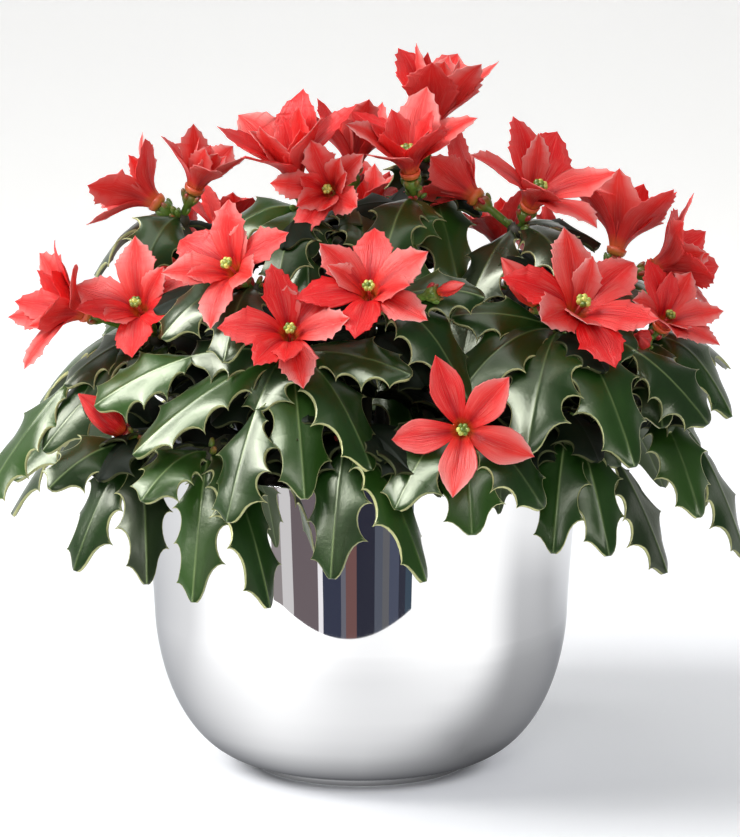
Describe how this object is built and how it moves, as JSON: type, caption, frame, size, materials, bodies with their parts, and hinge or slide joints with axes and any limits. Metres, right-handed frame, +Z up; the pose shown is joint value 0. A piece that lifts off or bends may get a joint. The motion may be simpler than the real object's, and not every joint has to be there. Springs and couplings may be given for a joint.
{
  "type": "potted christmas cactus",
  "caption": "Flowering holiday cactus with toothed, arching green leaf segments and star-shaped red blooms, growing in a polished round steel bowl planter.",
  "frame": {"origin": "centre of the flat underside of the planter's foot, on the surface it stands on", "axes": "+Z up, -Y towards the side that the picture shows, +X to the right in that view"},
  "size_m": [0.3468, 0.3095, 0.3394],
  "materials": {
    "steel": "mirror-polished",
    "soil": "loose, moist and crumbly",
    "greenery": "glossy, waxy",
    "petals": "satin, slightly translucent"
  },
  "bodies": {
    "root": {"bloom_01": "petals", "bloom_02": "petals", "bloom_03": "petals", "bloom_04": "petals", "bloom_05": "petals", "bloom_06": "petals", "bloom_07": "petals", "bloom_08": "petals", "bloom_09": "petals", "bloom_10": "petals", "bloom_11": "petals", "bloom_12": "petals", "bloom_13": "petals", "bloom_14": "petals", "bloom_15": "petals", "bloom_16": "petals", "bloom_17": "petals", "bloom_18": "petals", "bloom_19": "petals", "bloom_20": "petals", "bloom_21": "petals", "bloom_22": "petals", "bloom_23": "petals", "bloom_24": "petals", "bloom_25": "petals", "bloom_26": "petals", "bud_1": "petals", "bud_2": "petals", "bud_3": "petals", "bud_4": "petals", "planter": "steel", "soil": "soil", "stem_back_left": "greenery", "stem_back_low_left": "greenery", "stem_back_low_mid": "greenery", "stem_back_low_mid_left": "greenery", "stem_back_low_mid_right": "greenery", "stem_back_low_right": "greenery", "stem_back_mid": "greenery", "stem_back_right": "greenery", "stem_crown_left": "greenery", "stem_crown_low": "greenery", "stem_crown_mid": "greenery", "stem_crown_mid_left": "greenery", "stem_crown_right": "greenery", "stem_crown_top": "greenery", "stem_front_left": "greenery", "stem_front_low": "greenery", "stem_front_mid": "greenery", "stem_front_right": "greenery", "stem_left": "greenery", "stem_left_front": "greenery", "stem_low_left": "greenery", "stem_low_left_front": "greenery", "stem_low_mid": "greenery", "stem_low_right": "greenery", "stem_low_right_front": "greenery", "stem_right": "greenery", "stem_right_back": "greenery"}
  },
  "joints": []
}
